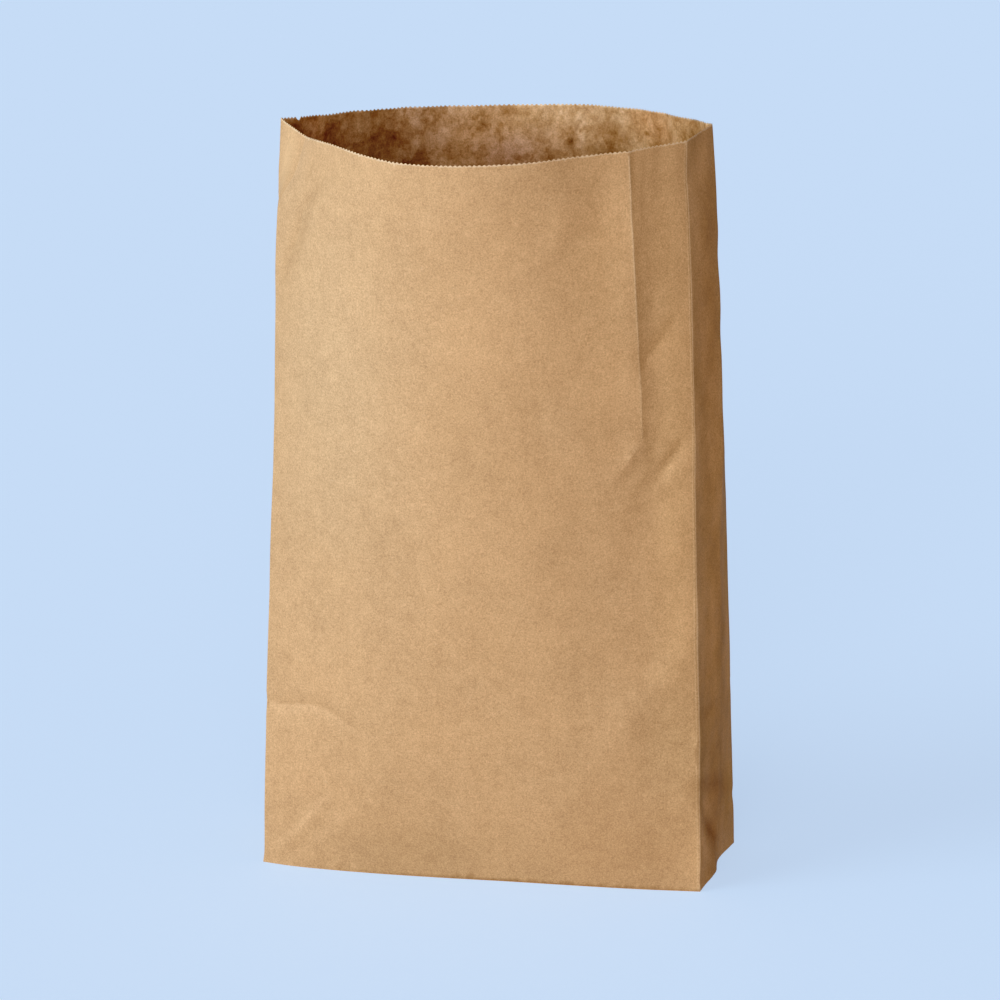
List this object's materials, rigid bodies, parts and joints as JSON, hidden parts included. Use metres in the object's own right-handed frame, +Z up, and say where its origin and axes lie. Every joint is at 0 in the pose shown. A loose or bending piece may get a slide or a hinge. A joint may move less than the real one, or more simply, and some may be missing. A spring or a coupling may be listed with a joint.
{
  "type": "paper waste sack",
  "caption": "Opened block-bottom kraft paper sack with side gussets, a glued flat base and a saw-toothed open mouth, standing upright and empty.",
  "frame": {"origin": "middle of the block bottom, on the face of the outer glued flap that the sack stands on", "axes": "+Z up out of the mouth, +X along the wide front panel, the wide front panel faces -Y"},
  "size_m": [0.5095, 0.3982, 0.8344],
  "materials": {
    "kraft_paper": "matte uncoated brown kraft, creased by hand"
  },
  "bodies": {
    "root": {"paper_sack": "kraft_paper"}
  },
  "joints": []
}
